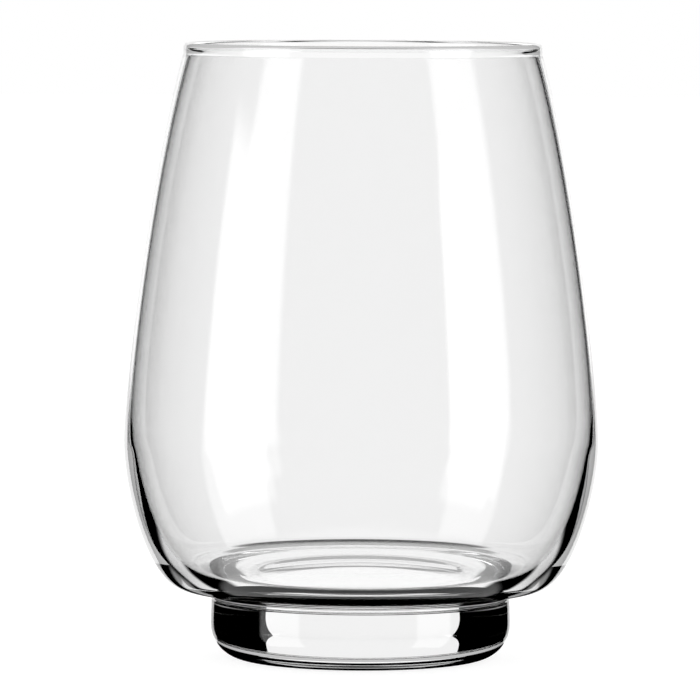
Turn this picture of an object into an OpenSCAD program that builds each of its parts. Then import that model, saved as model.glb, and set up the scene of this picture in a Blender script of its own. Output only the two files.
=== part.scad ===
// Stemless wine glass: a blown bowl with a thick heel, fused to a solid pressed foot.
// The foot stands on z = 0, and the axis of the glass is +Z. All lengths are in millimetres.

/* [Overall shape] */
// Height of the whole glass, from the table to the top of the lip
glass_h = 117; // [105:0.5:130]
// Diameter of the outer wall at the base of the lip
rim_d = 67.4; // [60:0.2:76]
// Largest diameter, at the belly
belly_d = 90.2; // [82:0.2:98]
// Height of the belly line above the table
belly_h = 41.4; // [36:0.2:48]
// Lean of the wall at the lip, in degrees from upright
rim_lean = 15.6; // [8:0.2:20]

/* [Wall and lip] */
// Thickness of the wall at the base of the lip
rim_t = 1.4; // [1:0.05:2.2]
// Thickness of the wall where it is thinnest, half way up
wall_t = 0.92; // [0.7:0.02:1.3]
// Thickness of the wall at the belly line
belly_t = 1.45; // [1.1:0.05:2.2]
// Height of the rounded top of the lip
lip_h = 0.85; // [0.5:0.05:1.2]
// Height over which the melted bead dies away below the rounded top
bead_h = 2; // [1:0.1:4]
// How far the melted bead stands out of the outer wall
bead_out = 0.3; // [0.1:0.05:0.5]
// How far the melted bead stands into the mouth
bead_in = 0.06; // [0.02:0.02:0.3]

/* [Heel and cavity] */
// Diameter at which the heel's curve runs out into the underside
seat_d = 66.6; // [62:0.2:72]
// Rise of the underside from the foot outwards, in degrees
seat_rise = 5.4; // [1:0.2:9]
// Height of the underside above the weld, at the edge of the foot
neck_h = 1.45; // [0.8:0.05:3]
// Radius of the fillet that the melted glass leaves between bowl and foot
neck_r = 1.2; // [0.5:0.05:3]
// Diameter of the cavity's floor, inside its rounded corner
floor_d = 64; // [54:0.5:68]
// Thickness of glass between the edge of the cavity's floor and the weld
floor_t = 5.3; // [4:0.1:7.5]
// Height that the floor swells up from its edge to the axis
floor_swell = 0.3; // [0.1:0.1:1.5]

/* [Foot] */
// Largest diameter of the foot
foot_d = 57; // [50:0.2:60]
// Height of the foot, up to the weld
foot_h = 11.3; // [9:0.1:14]
// Radius of the rounding between the side and the underside of the foot
foot_round = 6.6; // [3:0.1:8]
// How far the side draws in on the radius, from its widest line up to the weld
foot_draw = 0.15; // [0.05:0.05:0.5]
// Width of the flat ring that the glass stands on
ring_w = 2.5; // [1:0.1:5]
// Depth of the shallow hollow inside the ring
kick_h = 1; // [0.4:0.05:1.8]

/* [Hidden] */
$fn = 144;

// Straight bands that each curve is divided into
wall_steps = 28;
heel_steps = 20;
floor_steps = 8;
lip_steps = 10;
neck_steps = 6;
round_steps = 10;
kick_steps = 8;

rim_r = rim_d / 2;
belly_r = belly_d / 2;
seat_r = seat_d / 2;
foot_r = foot_d / 2;
weld_r = foot_r - foot_draw;
ring_r = foot_r - foot_round;
kick_r = ring_r - ring_w;

// Heights of the lip's base, the outer end of the underside and the edge of the cavity's floor
lip_z = glass_h - lip_h;
seat_z = foot_h + neck_h + (seat_r - weld_r) * tan(seat_rise);
floor_z = foot_h + floor_t;

// Lengths of the curves' handles, as shares of the height or width that each curve spans
rim_handle_share = 0.33;
belly_handle_share = 0.107;
heel_handle_share = 0.289;
seat_handle_share = 0.637;
cavity_handle_share = 0.24;
corner_handle_share = 0.6;

// How fast the wall thickens towards the lip and towards the belly
rim_power = 3;
belly_power = 9;

// Point at share u of a cubic curve with ends a and d and handles b and c
function curve_point(a, b, c, d, u) =
    pow(1 - u, 3) * a + 3 * pow(1 - u, 2) * u * b + 3 * (1 - u) * u * u * c + pow(u, 3) * d;

// Direction of the same curve at share u
function curve_slope(a, b, c, d, u) =
    3 * pow(1 - u, 2) * (b - a) + 6 * (1 - u) * u * (c - b) + 3 * u * u * (d - c);

// The direction v turned a quarter turn to its left, one unit long
function left_of(v) = [-v[1], v[0]] / norm(v);

// Ends and handles of the outer wall, from the belly line up to the base of the lip
wall_span = lip_z - belly_h;
wall_a = [belly_r, belly_h];
wall_b = [belly_r, belly_h + belly_handle_share * wall_span];
wall_c = [rim_r, lip_z] + rim_handle_share * wall_span * [tan(rim_lean), -1];
wall_d = [rim_r, lip_z];

function outer_wall(u) = curve_point(wall_a, wall_b, wall_c, wall_d, u);
function inward(u) = left_of(curve_slope(wall_a, wall_b, wall_c, wall_d, u));
function wall_height_share(u) = (outer_wall(u)[1] - belly_h) / wall_span;

// Thickness of the wall at a share h of its height
function wall_thickness(h) =
    wall_t + (rim_t - wall_t) * pow(h, rim_power) + (belly_t - wall_t) * pow(1 - h, belly_power);

// Share of the bead's full depth at height z: none at its foot, all of it at the lip's base
function bead_share(z) =
    z < lip_z - bead_h ? 0 : (1 - cos(180 * (z - lip_z + bead_h) / bead_h)) / 2;

function outer_face(u) =
    let (p = outer_wall(u)) p - inward(u) * bead_out * bead_share(p[1]);

function inner_face(u) =
    let (p = outer_wall(u))
    p + inward(u) * (wall_thickness(wall_height_share(u)) + bead_in * bead_share(p[1]));

// The wall's shares are closer together near the lip, where the bead is
function wall_share(i) = sin(90 * i / wall_steps);

// Heel: from the outer end of the underside round to the belly line
heel_drop = belly_h - seat_z;
heel_points = [for (i = [0 : heel_steps - 1]) curve_point(
    [seat_r, seat_z],
    [seat_r, seat_z] + seat_handle_share * (belly_r - seat_r) * [1, tan(seat_rise)],
    [belly_r, belly_h - heel_handle_share * heel_drop],
    [belly_r, belly_h],
    i / heel_steps)];

outer_points = [for (i = [0 : wall_steps]) outer_face(wall_share(i))];
inner_points = [for (i = [wall_steps : -1 : 0]) inner_face(wall_share(i))];

// Lip: half an ellipse from the outer face over to the inner face
lip_mid = (outer_points[wall_steps] + inner_points[0]) / 2;
lip_half = (outer_points[wall_steps] - inner_points[0]) / 2;
lip_rise = sqrt(pow(glass_h - lip_mid[1], 2) - pow(lip_half[1], 2));
lip_points = [for (i = [1 : lip_steps - 1])
    let (a = 180 * i / lip_steps)
    lip_mid + cos(a) * lip_half + sin(a) * [0, lip_rise]];

// Cavity below the belly line: it sets off as the wall's inner face does, turns a rounded
// corner and runs out level into the edge of the floor
belly_taper = belly_power * (belly_t - wall_t) / wall_span;
cavity_drop = belly_h - floor_z;
cavity_r = belly_r - belly_t;
floor_r = floor_d / 2;
corner_points = [for (i = [1 : heel_steps]) curve_point(
    [cavity_r, belly_h],
    [cavity_r, belly_h] - cavity_handle_share * cavity_drop * [belly_taper, 1],
    [floor_r + corner_handle_share * (cavity_r - floor_r), floor_z],
    [floor_r, floor_z],
    i / heel_steps)];

// The floor swells up evenly from its edge to the axis
floor_points = [for (i = [floor_steps - 1 : -1 : 0])
    let (s = i / floor_steps)
    [floor_r * s, floor_z + floor_swell * pow(1 - s * s, 2)]];

// Neck: a hollow fillet, no larger than the underside leaves room for
neck_fillet = min(neck_r, neck_h / (1 / cos(seat_rise) - tan(seat_rise)));
neck_x = weld_r + neck_fillet;
neck_z = foot_h + neck_h + neck_fillet * tan(seat_rise) - neck_fillet / cos(seat_rise);
neck_points = [for (i = [0 : neck_steps])
    let (a = 180 - (90 - seat_rise) * i / neck_steps)
    [neck_x, neck_z] + neck_fillet * [cos(a), sin(a)]];

module bowl() {
    color([0.86, 0.91, 0.91, 0.5])
        rotate_extrude()
            polygon(concat(
                [[0, foot_h], [weld_r, foot_h]],
                neck_points,
                heel_points,
                outer_points,
                lip_points,
                inner_points,
                corner_points,
                floor_points));
}

// Side of the foot above its widest line
side_points = [for (i = [1 : neck_steps])
    let (h = i / neck_steps)
    [foot_r - foot_draw * h * h, foot_round + (foot_h - foot_round) * h]];

// Rounding from the flat ring up to the widest line
round_points = [for (i = [0 : round_steps])
    let (a = 90 * i / round_steps)
    [ring_r + foot_round * sin(a), foot_round - foot_round * cos(a)]];

// Hollow inside the ring: part of a large sphere, from the axis out to the ring
dome_r = (kick_r * kick_r + kick_h * kick_h) / (2 * kick_h);
kick_points = [for (i = [0 : kick_steps])
    let (x = kick_r * i / kick_steps)
    [x, kick_h - dome_r + sqrt(dome_r * dome_r - x * x)]];

module foot() {
    color([0.80, 0.87, 0.88, 0.6])
        rotate_extrude()
            polygon(concat(
                [[0, foot_h]],
                kick_points,
                round_points,
                side_points));
}

bowl();
foot();
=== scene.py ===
import math

import bpy
import numpy as np
from mathutils import Matrix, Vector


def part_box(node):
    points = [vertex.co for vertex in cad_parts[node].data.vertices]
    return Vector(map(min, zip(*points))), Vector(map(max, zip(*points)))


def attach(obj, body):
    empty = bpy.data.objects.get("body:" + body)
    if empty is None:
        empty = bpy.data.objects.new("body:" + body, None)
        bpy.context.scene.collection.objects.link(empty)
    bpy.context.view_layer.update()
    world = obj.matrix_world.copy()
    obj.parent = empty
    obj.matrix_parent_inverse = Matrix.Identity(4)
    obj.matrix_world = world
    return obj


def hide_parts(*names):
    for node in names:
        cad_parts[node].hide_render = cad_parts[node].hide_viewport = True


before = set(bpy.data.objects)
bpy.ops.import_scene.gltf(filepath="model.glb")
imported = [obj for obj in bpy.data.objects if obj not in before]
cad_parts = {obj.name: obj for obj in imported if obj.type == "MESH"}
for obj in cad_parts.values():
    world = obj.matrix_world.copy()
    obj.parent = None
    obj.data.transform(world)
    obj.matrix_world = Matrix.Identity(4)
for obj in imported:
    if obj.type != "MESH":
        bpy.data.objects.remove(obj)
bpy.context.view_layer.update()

# Foot: the solid round of clear glass that the bowl is fused to. It is pressed hot in a
# ring mould, so its side is nearly upright and its underside rounded, and it stands on a
# narrow flat ring round a shallow hollow. The ring is faintly scuffed by tables.
foot_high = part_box("foot")[1]
foot_radius, foot_height = foot_high.x, foot_high.z
foot_rounding = 0.0066
foot_draw = 0.00015
ring_width = 0.0025
kick_height = 0.001
weld_radius = foot_radius - foot_draw
kick_steps, ring_steps, rounding_steps, side_steps = 24, 4, 48, 12
around = 256
ripple_height = 0.000002
pressed_ripple = (0.009, 0.009, 0.009)
pressed_tint = 0.93
refraction = 1.52
# Where the glass is painted black or given its painted glow: the turn that counts as wholly turned
# back, the height of the thick glass low down, and how many faces light meets before the glass is
# painted black
total_mirror = 0.999
thick_below = 0.0175
faces_till_painted_black, faces_till_painted_black_low = 6.5, 2.5


def arc(centre, radius, start, end, count):
    """Points on a circle round centre, at count equal steps of angle from start to end."""
    turn = np.radians(np.linspace(start, end, count + 1))
    return np.array(centre) + radius * np.stack([np.cos(turn), np.sin(turn)], 1)


def carried_round(name, profile):
    """Closed surface made by carrying a profile round the axis: its point (r, z) becomes
    (r cos a, r sin a, z) at equal angles a. The profile's ends are on the axis, where one
    point each closes the surface with a fan."""
    turn = 2 * np.pi * np.arange(around) / around
    r, z = profile[1:-1, :1], profile[1:-1, 1:] + 0 * turn
    rings = np.stack([r * np.cos(turn), r * np.sin(turn), z], 2)
    ends = np.array([[0, 0, profile[0, 1]], [0, 0, profile[-1, 1]]])
    points = np.vstack([rings.reshape(-1, 3), ends])
    here = np.arange(r.size * around).reshape(-1, around)
    there = np.roll(here, -1, axis=1)
    first, last = here.size + 0 * here[0], here.size + 1 + 0 * here[0]
    bands = np.stack([here[:-1], there[:-1], there[1:], here[1:]], 2).reshape(-1, 4)
    fans = np.vstack([
        np.stack([first, there[0], here[0]], 1),
        np.stack([here[-1], there[-1], last], 1),
    ])
    mesh = bpy.data.meshes.new(name)
    mesh.from_pydata(points.tolist(), [], bands.tolist() + fans.tolist())
    mesh.shade_smooth()
    piece = bpy.data.objects.new(name, mesh)
    bpy.context.scene.collection.objects.link(piece)
    return piece


def reckon(tree, operation, *values):
    """One step of arithmetic in a node tree, on sockets and numbers. Returns its outcome."""
    step = tree.nodes.new("ShaderNodeMath")
    step.operation = operation
    for socket, value in zip(step.inputs, values):
        if isinstance(value, (int, float)):
            socket.default_value = value
        else:
            tree.links.new(value, socket)
    return step.outputs[0]


def product(tree, first, *others):
    """The given sockets and numbers multiplied together."""
    for other in others:
        first = reckon(tree, "MULTIPLY", first, other)
    return first


def clear_glass(name, tint, ripple_size, painted_glow):
    """Clear glass, polished by the fire, with the faint ripple that forming leaves in it.
    Where light went in once, was turned back once and would now be wholly turned back again,
    the glass's colour and reflection are painted black and it shows a painted glow of the
    given strength instead, standing in for that light, but not in the thick glass low down.
    Where light has met seven faces, and low down where it went in once and has met three,
    the glass is painted black: painted shade. Counts are whole, so each limit on one ends
    in a half. Returns the material, its shader and the node that gives places on the piece."""
    finish = bpy.data.materials.new(name)
    finish.use_nodes = True
    finish.cycles.emission_sampling = "NONE"
    tree = finish.node_tree
    shader = tree.nodes["Principled BSDF"]
    shader.inputs["Roughness"].default_value = 0
    shader.inputs["IOR"].default_value = refraction
    shader.inputs["Transmission Weight"].default_value = 1
    shader.inputs["Emission Strength"].default_value = 1
    place = tree.nodes.new("ShaderNodeTexCoord")
    stretch = tree.nodes.new("ShaderNodeMapping")
    stretch.inputs["Scale"].default_value = [1 / size for size in ripple_size]
    ripple = tree.nodes.new("ShaderNodeTexNoise")
    ripple.inputs["Scale"].default_value = 1
    ripple.inputs["Detail"].default_value = 1
    bump = tree.nodes.new("ShaderNodeBump")
    bump.inputs["Distance"].default_value = ripple_height
    tree.links.new(place.outputs["Object"], stretch.inputs["Vector"])
    tree.links.new(stretch.outputs["Vector"], ripple.inputs["Vector"])
    tree.links.new(ripple.outputs["Fac"], bump.inputs["Height"])
    tree.links.new(bump.outputs["Normal"], shader.inputs["Normal"])

    # Painted light: on the paths below, the glass's colour and reflection are painted black
    # (painted shade), and where light is held in the wall a painted glow of the given strength
    # shows instead
    path = tree.nodes.new("ShaderNodeLightPath")
    mirror = tree.nodes.new("ShaderNodeFresnel")
    mirror.inputs["IOR"].default_value = refraction
    heights = tree.nodes.new("ShaderNodeSeparateXYZ")
    tree.links.new(place.outputs["Object"], heights.inputs["Vector"])
    went_in_once = reckon(tree, "COMPARE", path.outputs["Transmission Depth"], 1, 0.5)
    turned_once = reckon(tree, "COMPARE", path.outputs["Glossy Depth"], 1, 0.5)
    turned_back = reckon(tree, "GREATER_THAN", mirror.outputs["Fac"], total_mirror)
    low_down = reckon(tree, "LESS_THAN", heights.outputs["Z"], thick_below)
    higher_up = reckon(tree, "SUBTRACT", 1, low_down)
    # Painted glow: light held in the wall, above the thick glass low down
    painted_glow_mask = product(tree, went_in_once, turned_once, turned_back, higher_up)
    # Painted shade: the glass is painted black where light has met many faces
    painted_black_low = product(tree, low_down, went_in_once,
                       reckon(tree, "GREATER_THAN", path.outputs["Ray Depth"], faces_till_painted_black_low))
    painted_black_mask = reckon(tree, "MAXIMUM", painted_black_low,
                  reckon(tree, "GREATER_THAN", path.outputs["Ray Depth"], faces_till_painted_black))
    unpainted = reckon(tree, "SUBTRACT", 1, reckon(tree, "MAXIMUM", painted_glow_mask, painted_black_mask))
    tree.links.new(reckon(tree, "MULTIPLY", unpainted, tint), shader.inputs["Base Color"])
    tree.links.new(unpainted, shader.inputs["Specular Tint"])
    tree.links.new(reckon(tree, "MULTIPLY", painted_glow_mask, painted_glow), shader.inputs["Emission Color"])
    return finish, shader, place


def fused_face(piece, joint):
    """Gives the flat face where two hot pieces have melted into one no surface of its own:
    light goes through it unbent, as through the middle of solid glass."""
    at_joint, level = 1e-7, 0.999
    mesh = piece.data
    mesh.materials.append(joint)
    centres, ups = np.zeros((2, 3 * len(mesh.polygons)))
    mesh.polygons.foreach_get("center", centres)
    mesh.polygons.foreach_get("normal", ups)
    fused = (abs(centres[2::3] - foot_height) < at_joint) & (abs(ups[2::3]) > level)
    mesh.polygons.foreach_set("material_index", fused.astype(np.int32))
    mesh.polygons.foreach_set("use_smooth", ~fused)
    mesh.update()


ring_radius = foot_radius - foot_rounding
kick_radius = ring_radius - ring_width
dome_radius = (kick_radius**2 + kick_height**2) / (2 * kick_height)
kick_out = kick_radius * np.linspace(0, 1, kick_steps + 1)
kick_line = np.stack(
    [kick_out, kick_height - dome_radius + np.sqrt(dome_radius**2 - kick_out**2)], 1)
ring_out = np.linspace(kick_radius, ring_radius, ring_steps + 1)[1:-1]
ring_line = np.stack([ring_out, 0 * ring_out], 1)
rounding_line = arc([ring_radius, foot_rounding], foot_rounding, -90, 0, rounding_steps)
up_side = np.linspace(0, 1, side_steps + 1)[1:, None]
side_line = np.hstack([
    foot_radius - foot_draw * up_side**2,
    foot_rounding + (foot_height - foot_rounding) * up_side,
])
foot_profile = np.vstack([kick_line, ring_line, rounding_line, side_line, [[0, foot_height]]])
foot = carried_round("foot_glass", foot_profile)
# The foot's glass has no painted glow, only the painted black (painted shade) where light has met
# many faces or is held in it
pressed_glass, pressed_shader, pressed_place = clear_glass(
    "pressed_glass", pressed_tint, pressed_ripple, 0)
foot.data.materials.append(pressed_glass)

# The scuffs are short scratches on the flat ring alone
scuffs_fade, scuffs_full = 0.00012, 0.00002
scratch_scale, scratch_detail = 900, 4
scratch_from, scratch_to, scratch_roughness = 0.45, 0.7, 0.3
scuff_tree = pressed_glass.node_tree
scuff_heights = scuff_tree.nodes.new("ShaderNodeSeparateXYZ")
near_table = scuff_tree.nodes.new("ShaderNodeMapRange")
near_table.inputs["From Min"].default_value = scuffs_fade
near_table.inputs["From Max"].default_value = scuffs_full
scratches = scuff_tree.nodes.new("ShaderNodeTexNoise")
scratches.inputs["Scale"].default_value = scratch_scale
scratches.inputs["Detail"].default_value = scratch_detail
scratched = scuff_tree.nodes.new("ShaderNodeMapRange")
scratched.inputs["From Min"].default_value = scratch_from
scratched.inputs["From Max"].default_value = scratch_to
scratched.inputs["To Max"].default_value = scratch_roughness
scuff_tree.links.new(pressed_place.outputs["Object"], scuff_heights.inputs["Vector"])
scuff_tree.links.new(scuff_heights.outputs["Z"], near_table.inputs["Value"])
scuff_tree.links.new(pressed_place.outputs["Object"], scratches.inputs["Vector"])
scuff_tree.links.new(scratches.outputs["Fac"], scratched.inputs["Value"])
scuffed = product(scuff_tree, near_table.outputs["Result"], scratched.outputs["Result"])
scuff_tree.links.new(scuffed, pressed_shader.inputs["Roughness"])

melted_joint = bpy.data.materials.new("melted_joint")
melted_joint.use_nodes = True
melted_joint.node_tree.nodes.clear()
through = melted_joint.node_tree.nodes.new("ShaderNodeBsdfTransparent")
joint_end = melted_joint.node_tree.nodes.new("ShaderNodeOutputMaterial")
melted_joint.node_tree.links.new(through.outputs["BSDF"], joint_end.inputs["Surface"])
fused_face(foot, melted_joint)
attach(foot, "root")
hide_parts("foot")

# Bowl: one gather of clear glass, blown in a turning mould, so the wall is about 1 mm
# thick half way up and thickens into a heavy heel. It is fused hot to the foot with a
# small melted fillet, then cut at the rim and melted back to a rounded lip with a bead.
bowl_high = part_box("bowl")[1]
glass_height, belly_radius = bowl_high.z, bowl_high.x
belly_height = 0.0414
rim_radius = 0.0337
rim_lean = math.radians(15.6)
rim_wall, thin_wall, belly_wall = 0.0014, 0.00092, 0.00145
rim_power, belly_power = 3, 9
lip_height = 0.00085
bead_height, bead_out, bead_in = 0.0014, 0.0003, 0.00002
seat_radius = 0.0333
seat_rise = math.radians(5.4)
neck_height, neck_fillet = 0.00145, 0.0012
floor_radius, floor_glass, floor_swell = 0.0314, 0.00483, 0.00087
belly_handle_share, rim_handle_share = 0.107, 0.33
seat_handle_share, heel_handle_share = 0.637, 0.289
cavity_handle_share, corner_handle_share = 0.2, 0.6
wall_steps, lip_steps, neck_steps = 80, 32, 20
heel_steps, corner_steps, floor_steps = 60, 60, 24
blown_ripple = (0.02, 0.02, 0.008)
blown_tint = 1
# Strength of the painted glow that the bowl's glass shows for light held in its wall
blown_painted_glow = 0.6


def curve(start, start_handle, end_handle, end, share):
    """Cubic curve: at each share u of the way, the four points weighted by (1 - u)^3,
    3 (1 - u)^2 u, 3 (1 - u) u^2 and u^3."""
    u = share[:, None]
    start, start_handle, end_handle, end = map(np.array, (start, start_handle, end_handle, end))
    return (start * (1 - u)**3 + start_handle * 3 * (1 - u)**2 * u
            + end_handle * 3 * (1 - u) * u**2 + end * u**3)


lip_base = glass_height - lip_height
wall_span = lip_base - belly_height
rim_handle = rim_handle_share * wall_span
wall_share = np.sin(np.pi / 2 * np.linspace(0, 1, wall_steps + 1))
wall = curve(
    [belly_radius, belly_height],
    [belly_radius, belly_height + belly_handle_share * wall_span],
    [rim_radius + rim_handle * math.tan(rim_lean), lip_base - rim_handle],
    [rim_radius, lip_base], wall_share)
along = np.gradient(wall, wall_share, axis=0)
inward = np.stack([-along[:, 1], along[:, 0]], 1) / np.linalg.norm(along, axis=1)[:, None]
up_wall = (wall[:, 1:] - belly_height) / wall_span
thickness = (thin_wall + (rim_wall - thin_wall) * up_wall**rim_power
             + (belly_wall - thin_wall) * (1 - up_wall)**belly_power)
below_lip = np.clip((lip_base - wall[:, 1:]) / bead_height, 0, 1)
bead = (1 + np.cos(np.pi * below_lip)) / 2
outer_line = wall - inward * bead_out * bead
inner_line = (wall + inward * (thickness + bead_in * bead))[::-1]

# The lip is half an ellipse from the outer face over to the inner face
lip_middle, lip_half = (outer_line[-1] + inner_line[0]) / 2, (outer_line[-1] - inner_line[0]) / 2
lip_rise = math.sqrt((glass_height - lip_middle[1])**2 - lip_half[1]**2)
over_lip = np.linspace(0, np.pi, lip_steps + 1)[1:-1, None]
lip_line = lip_middle + np.cos(over_lip) * lip_half + np.sin(over_lip) * [0, lip_rise]

# Underside, melted fillet and heel
seat_height = foot_height + neck_height + (seat_radius - weld_radius) * math.tan(seat_rise)
fillet = min(neck_fillet, neck_height / (1 / math.cos(seat_rise) - math.tan(seat_rise)))
fillet_centre = [
    weld_radius + fillet,
    foot_height + neck_height + fillet * math.tan(seat_rise) - fillet / math.cos(seat_rise)]
neck_line = arc(fillet_centre, fillet, 180, 90 + math.degrees(seat_rise), neck_steps)
heel_run = seat_handle_share * (belly_radius - seat_radius)
heel_line = curve(
    [seat_radius, seat_height],
    [seat_radius + heel_run, seat_height + heel_run * math.tan(seat_rise)],
    [belly_radius, belly_height - heel_handle_share * (belly_height - seat_height)],
    [belly_radius, belly_height], np.linspace(0, 1, heel_steps + 1)[:-1])

# Cavity below the belly: it sets off as the wall's inner face does, turns a rounded corner
# and runs out level into the edge of the floor, which swells up evenly to the axis
cavity_radius = belly_radius - belly_wall
floor_height = foot_height + floor_glass
corner_drop = cavity_handle_share * (belly_height - floor_height)
corner_lean = belly_power * (belly_wall - thin_wall) / wall_span
corner_line = curve(
    [cavity_radius, belly_height],
    [cavity_radius - corner_drop * corner_lean, belly_height - corner_drop],
    [floor_radius + corner_handle_share * (cavity_radius - floor_radius), floor_height],
    [floor_radius, floor_height], np.linspace(0, 1, corner_steps + 1)[1:])
floor_in = np.linspace(1, 0, floor_steps + 1)[1:, None]
floor_line = np.hstack([floor_radius * floor_in, floor_height + floor_swell * (1 - floor_in**2)**2])

bowl_profile = np.vstack([
    [[0, foot_height], [weld_radius, foot_height]],
    neck_line, heel_line, outer_line, lip_line, inner_line, corner_line, floor_line])
bowl = carried_round("bowl_glass", bowl_profile)
blown_glass = clear_glass("blown_glass", blown_tint, blown_ripple, blown_painted_glow)[0]
bowl.data.materials.append(blown_glass)
fused_face(bowl, melted_joint)
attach(bowl, "root")
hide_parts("bowl")

# Table: a plain white table top that the glass stands on. The camera sees it and the
# foot's faint shadow on it. The glass sees a lit pad under the foot and the room instead.
table_reach, table_corners = 4, 96
table_grey, table_light = 0.34, 0.84
table_turn = 2 * np.pi * np.arange(table_corners) / table_corners
unit_disc = np.stack([np.cos(table_turn), np.sin(table_turn), 0 * table_turn], 1)
whole_disc = [list(range(table_corners))]
table_mesh = bpy.data.meshes.new("table")
table_mesh.from_pydata((table_reach * unit_disc).tolist(), [], whole_disc)
table = bpy.data.objects.new("table", table_mesh)
bpy.context.scene.collection.objects.link(table)
table.visible_transmission = False
table.visible_glossy = False
lit_white = bpy.data.materials.new("lit_white")
lit_white.use_nodes = True
table_shader = lit_white.node_tree.nodes["Principled BSDF"]
table_shader.inputs["Base Color"].default_value = (table_grey, table_grey, table_grey, 1)
table_shader.inputs["Roughness"].default_value = 1
table_shader.inputs["Specular IOR Level"].default_value = 0
table_shader.inputs["Emission Color"].default_value = (1, 1, 1, 1)
table_shader.inputs["Emission Strength"].default_value = table_light
table.data.materials.append(lit_white)

# Screen and pad: a white screen that stands close behind the glass, and a white pad right
# under the foot. Both are lit evenly, and only the glass sees them. What the glass bends
# past the edges of the screen is dark, and that draws its black lines.
screen_left, screen_right, screen_back = -0.184, 0.171, 0.351
screen_low, screen_high = -0.087, 0.42
screen_light = 1.04
pad_radius, pad_height = 0.034, -0.0006


def lit_for_glass(name, corners, faces, level):
    """Flat sheet with the given corners that glows evenly at the given level. The camera
    and the table don't see it. Returns the sheet, its node tree and its glow."""
    mesh = bpy.data.meshes.new(name)
    mesh.from_pydata(corners, [], faces)
    sheet = bpy.data.objects.new(name, mesh)
    bpy.context.scene.collection.objects.link(sheet)
    sheet.visible_camera = False
    sheet.visible_diffuse = False
    sheet.visible_shadow = False
    white = bpy.data.materials.new(name + "_white")
    white.use_nodes = True
    white.cycles.emission_sampling = "NONE"
    tree = white.node_tree
    tree.nodes.clear()
    light = tree.nodes.new("ShaderNodeEmission")
    light.inputs["Strength"].default_value = level
    end = tree.nodes.new("ShaderNodeOutputMaterial")
    tree.links.new(light.outputs["Emission"], end.inputs["Surface"])
    mesh.materials.append(white)
    return sheet, tree, light


screen = lit_for_glass("screen", [
    (screen_left, screen_back, screen_low), (screen_right, screen_back, screen_low),
    (screen_right, screen_back, screen_high), (screen_left, screen_back, screen_high)],
    [(0, 1, 2, 3)], screen_light)[0]

# The pad is dark for what has turned on its way and come through fewer than three faces
pad, pad_tree, pad_light = lit_for_glass(
    "pad", (pad_radius * unit_disc + [0, 0, pad_height]).tolist(), whole_disc, 1)
pad_path = pad_tree.nodes.new("ShaderNodeLightPath")
through_three = reckon(pad_tree, "GREATER_THAN", pad_path.outputs["Transmission Depth"], 2.5)
never_turned = reckon(pad_tree, "LESS_THAN", pad_path.outputs["Glossy Depth"], 0.5)
pad_seen = reckon(pad_tree, "MAXIMUM", through_three, never_turned)
pad_tree.links.new(pad_seen, pad_light.inputs["Strength"])

# Room: dark, with a tall soft lamp box to each side of the glass, white underneath and two
# white patches low behind. It is white as well for what comes straight through the walls,
# so the glass is clear from every side, and for the table and the camera itself.
box_low, box_high, box_light = -35, 17, 1.9
left_box, left_box_half = -114.5, 17.5
right_box, right_box_half = 121.5, 14.5
under_half, under_low, under_high = 190, -100, -46
patch, patch_half, patch_low, patch_high = 20, 14, -31, -23
patch_side_edge, patch_end_edge = 7, 3
walls_light = 0.95
one_wall_from, one_wall_full = -5.5, -8
gap_half, gap_low, gap_high = 6.5, -40, -21
gap_side_edge, gap_end_edge = 5, 2
room = bpy.data.worlds.new("room")
bpy.context.scene.world = room
room.use_nodes = True
room.cycles.sampling_method = "NONE"
sky = room.node_tree
sky.nodes.clear()
direction = sky.nodes.new("ShaderNodeTexCoord")
parts = sky.nodes.new("ShaderNodeSeparateXYZ")
sky.links.new(direction.outputs["Generated"], parts.inputs["Vector"])
to_degrees = 180 / math.pi
round_angle = reckon(
    sky, "MULTIPLY", reckon(sky, "ARCTAN2", parts.outputs["X"], parts.outputs["Y"]), to_degrees)
up_angle = reckon(sky, "MULTIPLY", reckon(sky, "ARCSINE", parts.outputs["Z"]), to_degrees)


def fade(value, none_at, full_at):
    """Soft edge: 0 at none_at, 1 at full_at, and the smooth step 3 t^2 - 2 t^3 between."""
    edge = sky.nodes.new("ShaderNodeMapRange")
    edge.interpolation_type = "SMOOTHSTEP"
    edge.inputs["From Min"].default_value = none_at
    edge.inputs["From Max"].default_value = full_at
    sky.links.new(value, edge.inputs["Value"])
    return edge.outputs["Result"]


def panel(middle, half_width, low, high, level, side_edge=4, end_edge=4):
    """Lit rectangle in the room: full inside its four edges and faded softly across them.
    Angles are in degrees, round from +Y towards +X, and up from the horizon."""
    off = reckon(sky, "ABSOLUTE", reckon(
        sky, "WRAP", reckon(sky, "SUBTRACT", round_angle, middle), 180, -180))
    across = fade(off, half_width + side_edge / 2, half_width - side_edge / 2)
    above_low = fade(up_angle, low - end_edge / 2, low + end_edge / 2)
    below_high = fade(up_angle, high + end_edge / 2, high - end_edge / 2)
    return product(sky, across, product(sky, above_low, below_high), level)


seen = panel(left_box, left_box_half, box_low, box_high, box_light)
for lit in (
    panel(right_box, right_box_half, box_low, box_high, box_light),
    panel(0, under_half, under_low, under_high, 1),
    panel(-patch, patch_half, patch_low, patch_high, 1, patch_side_edge, patch_end_edge),
    panel(patch, patch_half, patch_low, patch_high, 1, patch_side_edge, patch_end_edge),
):
    seen = reckon(sky, "MAXIMUM", seen, lit)

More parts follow.
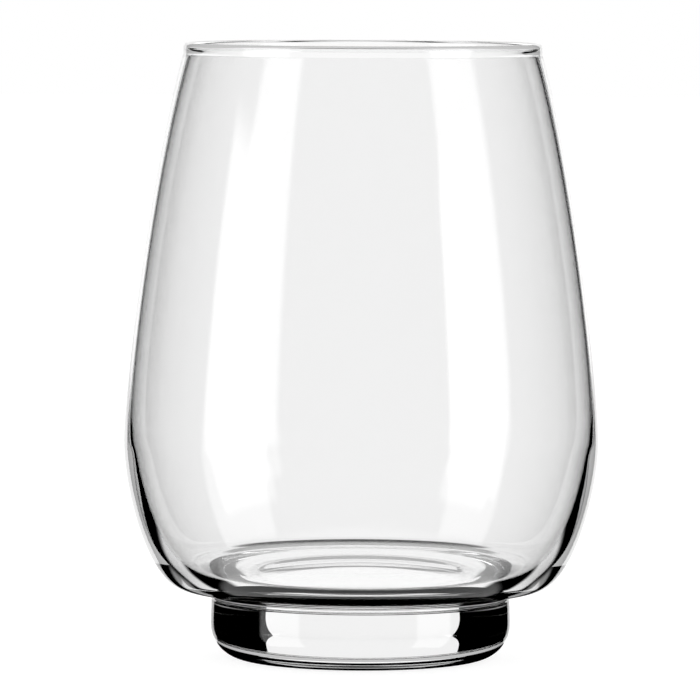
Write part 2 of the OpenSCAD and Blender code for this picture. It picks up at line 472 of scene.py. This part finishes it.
# What comes unturned through both walls, or downward through one, is lit on every side but
# for a gap low behind the glass, which draws the dark line over the floor's far edge
looker = sky.nodes.new("ShaderNodeLightPath")
unturned = reckon(sky, "LESS_THAN", looker.outputs["Glossy Depth"], 0.5)
both_walls = reckon(sky, "GREATER_THAN", looker.outputs["Transmission Depth"], 3.5)
one_wall = reckon(sky, "GREATER_THAN", looker.outputs["Transmission Depth"], 1.5)
downward = product(sky, one_wall, fade(up_angle, one_wall_from, one_wall_full))
walls = reckon(sky, "MAXIMUM", both_walls, downward)
gap = panel(0, gap_half, gap_low, gap_high, 1, gap_side_edge, gap_end_edge)
straight = product(sky, unturned, walls, walls_light, reckon(sky, "SUBTRACT", 1, gap))
seen = reckon(sky, "MAXIMUM", seen, straight)

plain = reckon(sky, "MAXIMUM", looker.outputs["Is Camera Ray"], looker.outputs["Is Diffuse Ray"])
mixed = sky.nodes.new("ShaderNodeMix")
sky.links.new(plain, mixed.inputs["Factor"])
sky.links.new(seen, mixed.inputs["A"])
mixed.inputs["B"].default_value = 1
glow = sky.nodes.new("ShaderNodeBackground")
glow.inputs["Color"].default_value = (1, 1, 1, 1)
sky.links.new(mixed.outputs["Result"], glow.inputs["Strength"])
world_end = sky.nodes.new("ShaderNodeOutputWorld")
sky.links.new(glow.outputs["Background"], world_end.inputs["Surface"])

# Camera: a long lens a little above the glass and a hair to its left, tipped down to its
# middle and turned a quarter of a degree, as in the photograph
focal_length, sensor_width, nearest = 339.07, 36, 0.01
camera_side, camera_back, camera_height = -0.0022, 1.25, 0.1403
aim_height = 0.0587
camera_roll = math.radians(0.25)
lens = bpy.data.cameras.new("camera")
lens.sensor_width = sensor_width
lens.lens = focal_length
lens.clip_start = nearest
camera = bpy.data.objects.new("camera", lens)
bpy.context.scene.collection.objects.link(camera)
look_down = math.atan2(camera_height - aim_height, camera_back)
camera.matrix_world = (
    Matrix.Translation((camera_side, -camera_back, camera_height))
    @ Matrix.Rotation(math.pi / 2 - look_down, 4, "X")
    @ Matrix.Rotation(camera_roll, 4, "Z"))
bpy.context.scene.camera = camera

scene = bpy.context.scene
bounces, clear_bounces = 10, 32
scene.view_settings.view_transform = "Standard"
scene.cycles.max_bounces = bounces
scene.cycles.transmission_bounces = bounces
scene.cycles.glossy_bounces = bounces
scene.cycles.transparent_max_bounces = clear_bounces
